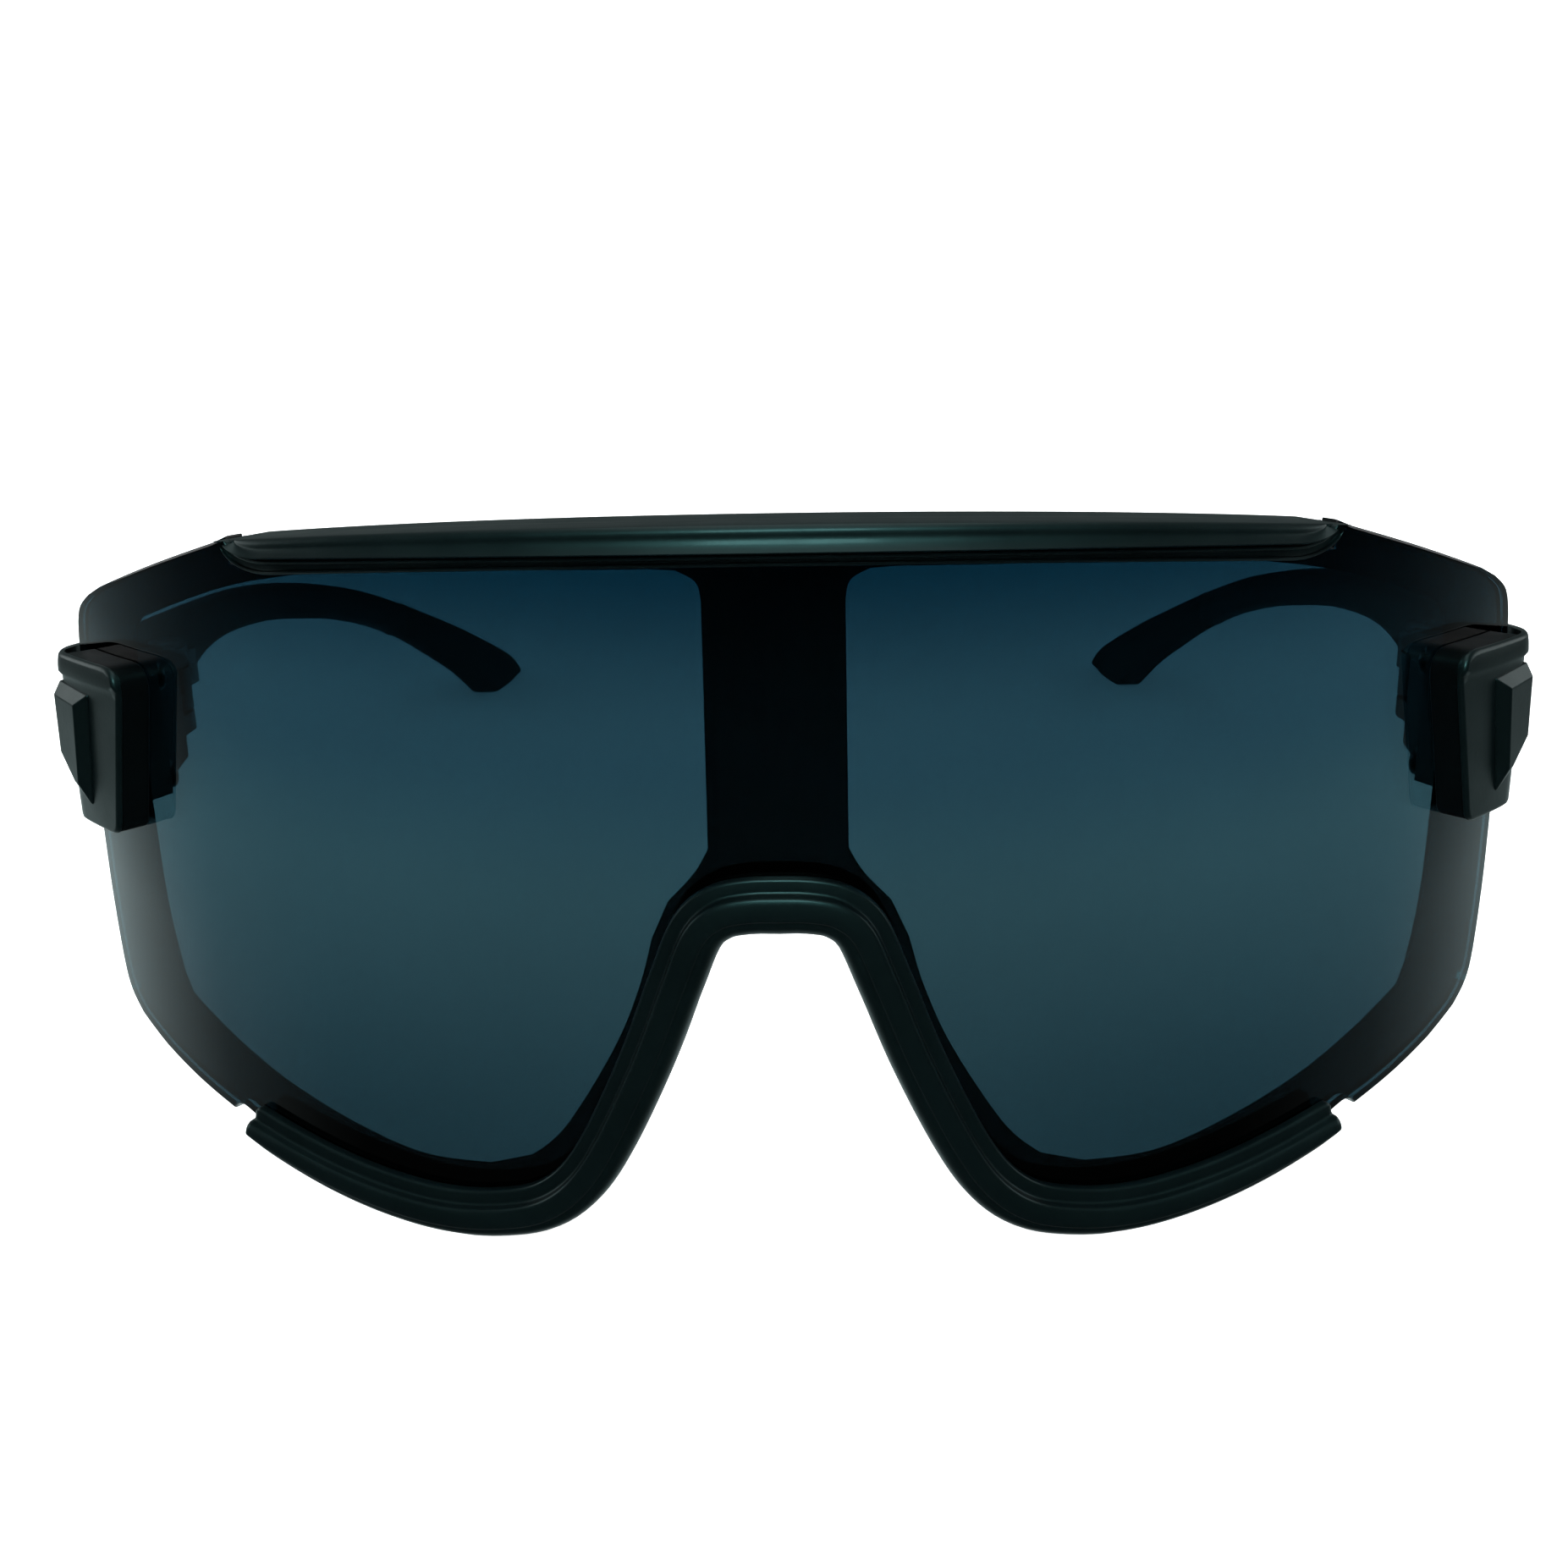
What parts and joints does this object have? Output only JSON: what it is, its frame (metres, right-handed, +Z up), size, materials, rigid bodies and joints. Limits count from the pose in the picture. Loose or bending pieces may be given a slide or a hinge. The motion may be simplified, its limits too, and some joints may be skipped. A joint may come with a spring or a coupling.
{
  "type": "wraparound sport sunglasses",
  "caption": "Wraparound sport sunglasses with a one-piece tinted shield lens, a ridged brow bar, a lower rim with a nose arch, faceted side blocks and folding temples.",
  "frame": {"origin": "centre of the bounding box on the table the pair stands on, with the temples open", "axes": "+X to the wearer's left, +Y back from the lens towards the ears, +Z up from the table; the front leans back 7.4 degrees from its wearing position"},
  "size_m": [0.1438, 0.146, 0.0644],
  "materials": {
    "lens_tint": "polished see-through tint, teal blue at the top and greyer at the bottom",
    "border_black": "opaque glossy black band behind the lens's edge",
    "frame_satin": "satin moulded nylon, near black with a slight green cast",
    "inner_black": "plain black moulded nylon",
    "temple_black": "satin black moulded nylon",
    "soft_rubber": "matte black soft rubber",
    "screw_steel": "small bright steel fasteners"
  },
  "bodies": {
    "front": {"lens_shield": "lens_tint", "lens_border_mask": "border_black", "brow_channel": "frame_satin", "brow_cover": "frame_satin", "lower_rim": "frame_satin", "nose_bracket": "inner_black", "nose_pad_left": "soft_rubber", "nose_pad_right": "soft_rubber", "lens_clamp_left": "inner_black", "lens_clamp_right": "inner_black", "end_cover_left": "frame_satin", "end_cover_right": "frame_satin", "cover_badge_left": "frame_satin", "cover_badge_right": "frame_satin", "hinge_bracket_left": "inner_black", "hinge_bracket_right": "inner_black", "clamp_screw_upper_left": "screw_steel", "clamp_screw_upper_right": "screw_steel", "clamp_screw_lower_left": "screw_steel", "clamp_screw_lower_right": "screw_steel", "hinge_screw_left": "screw_steel", "hinge_screw_right": "screw_steel"},
    "left_temple": {"temple_left": "temple_black", "hinge_leaf_left": "screw_steel", "temple_sleeve_left": "soft_rubber"},
    "right_temple": {"temple_right": "temple_black", "hinge_leaf_right": "screw_steel", "temple_sleeve_right": "soft_rubber"}
  },
  "joints": [
    {"name": "left_temple_fold", "type": "hinge", "parent": "front", "child": "left_temple", "pos_m": [0.0648, -0.0252, 0.03578], "axis": [0, 0.1292, 0.9916], "range_deg": [0, 90]},
    {"name": "right_temple_fold", "type": "hinge", "parent": "front", "child": "right_temple", "pos_m": [-0.0648, -0.0252, 0.03578], "axis": [0, -0.1292, -0.9916], "range_deg": [0, 80]}
  ]
}
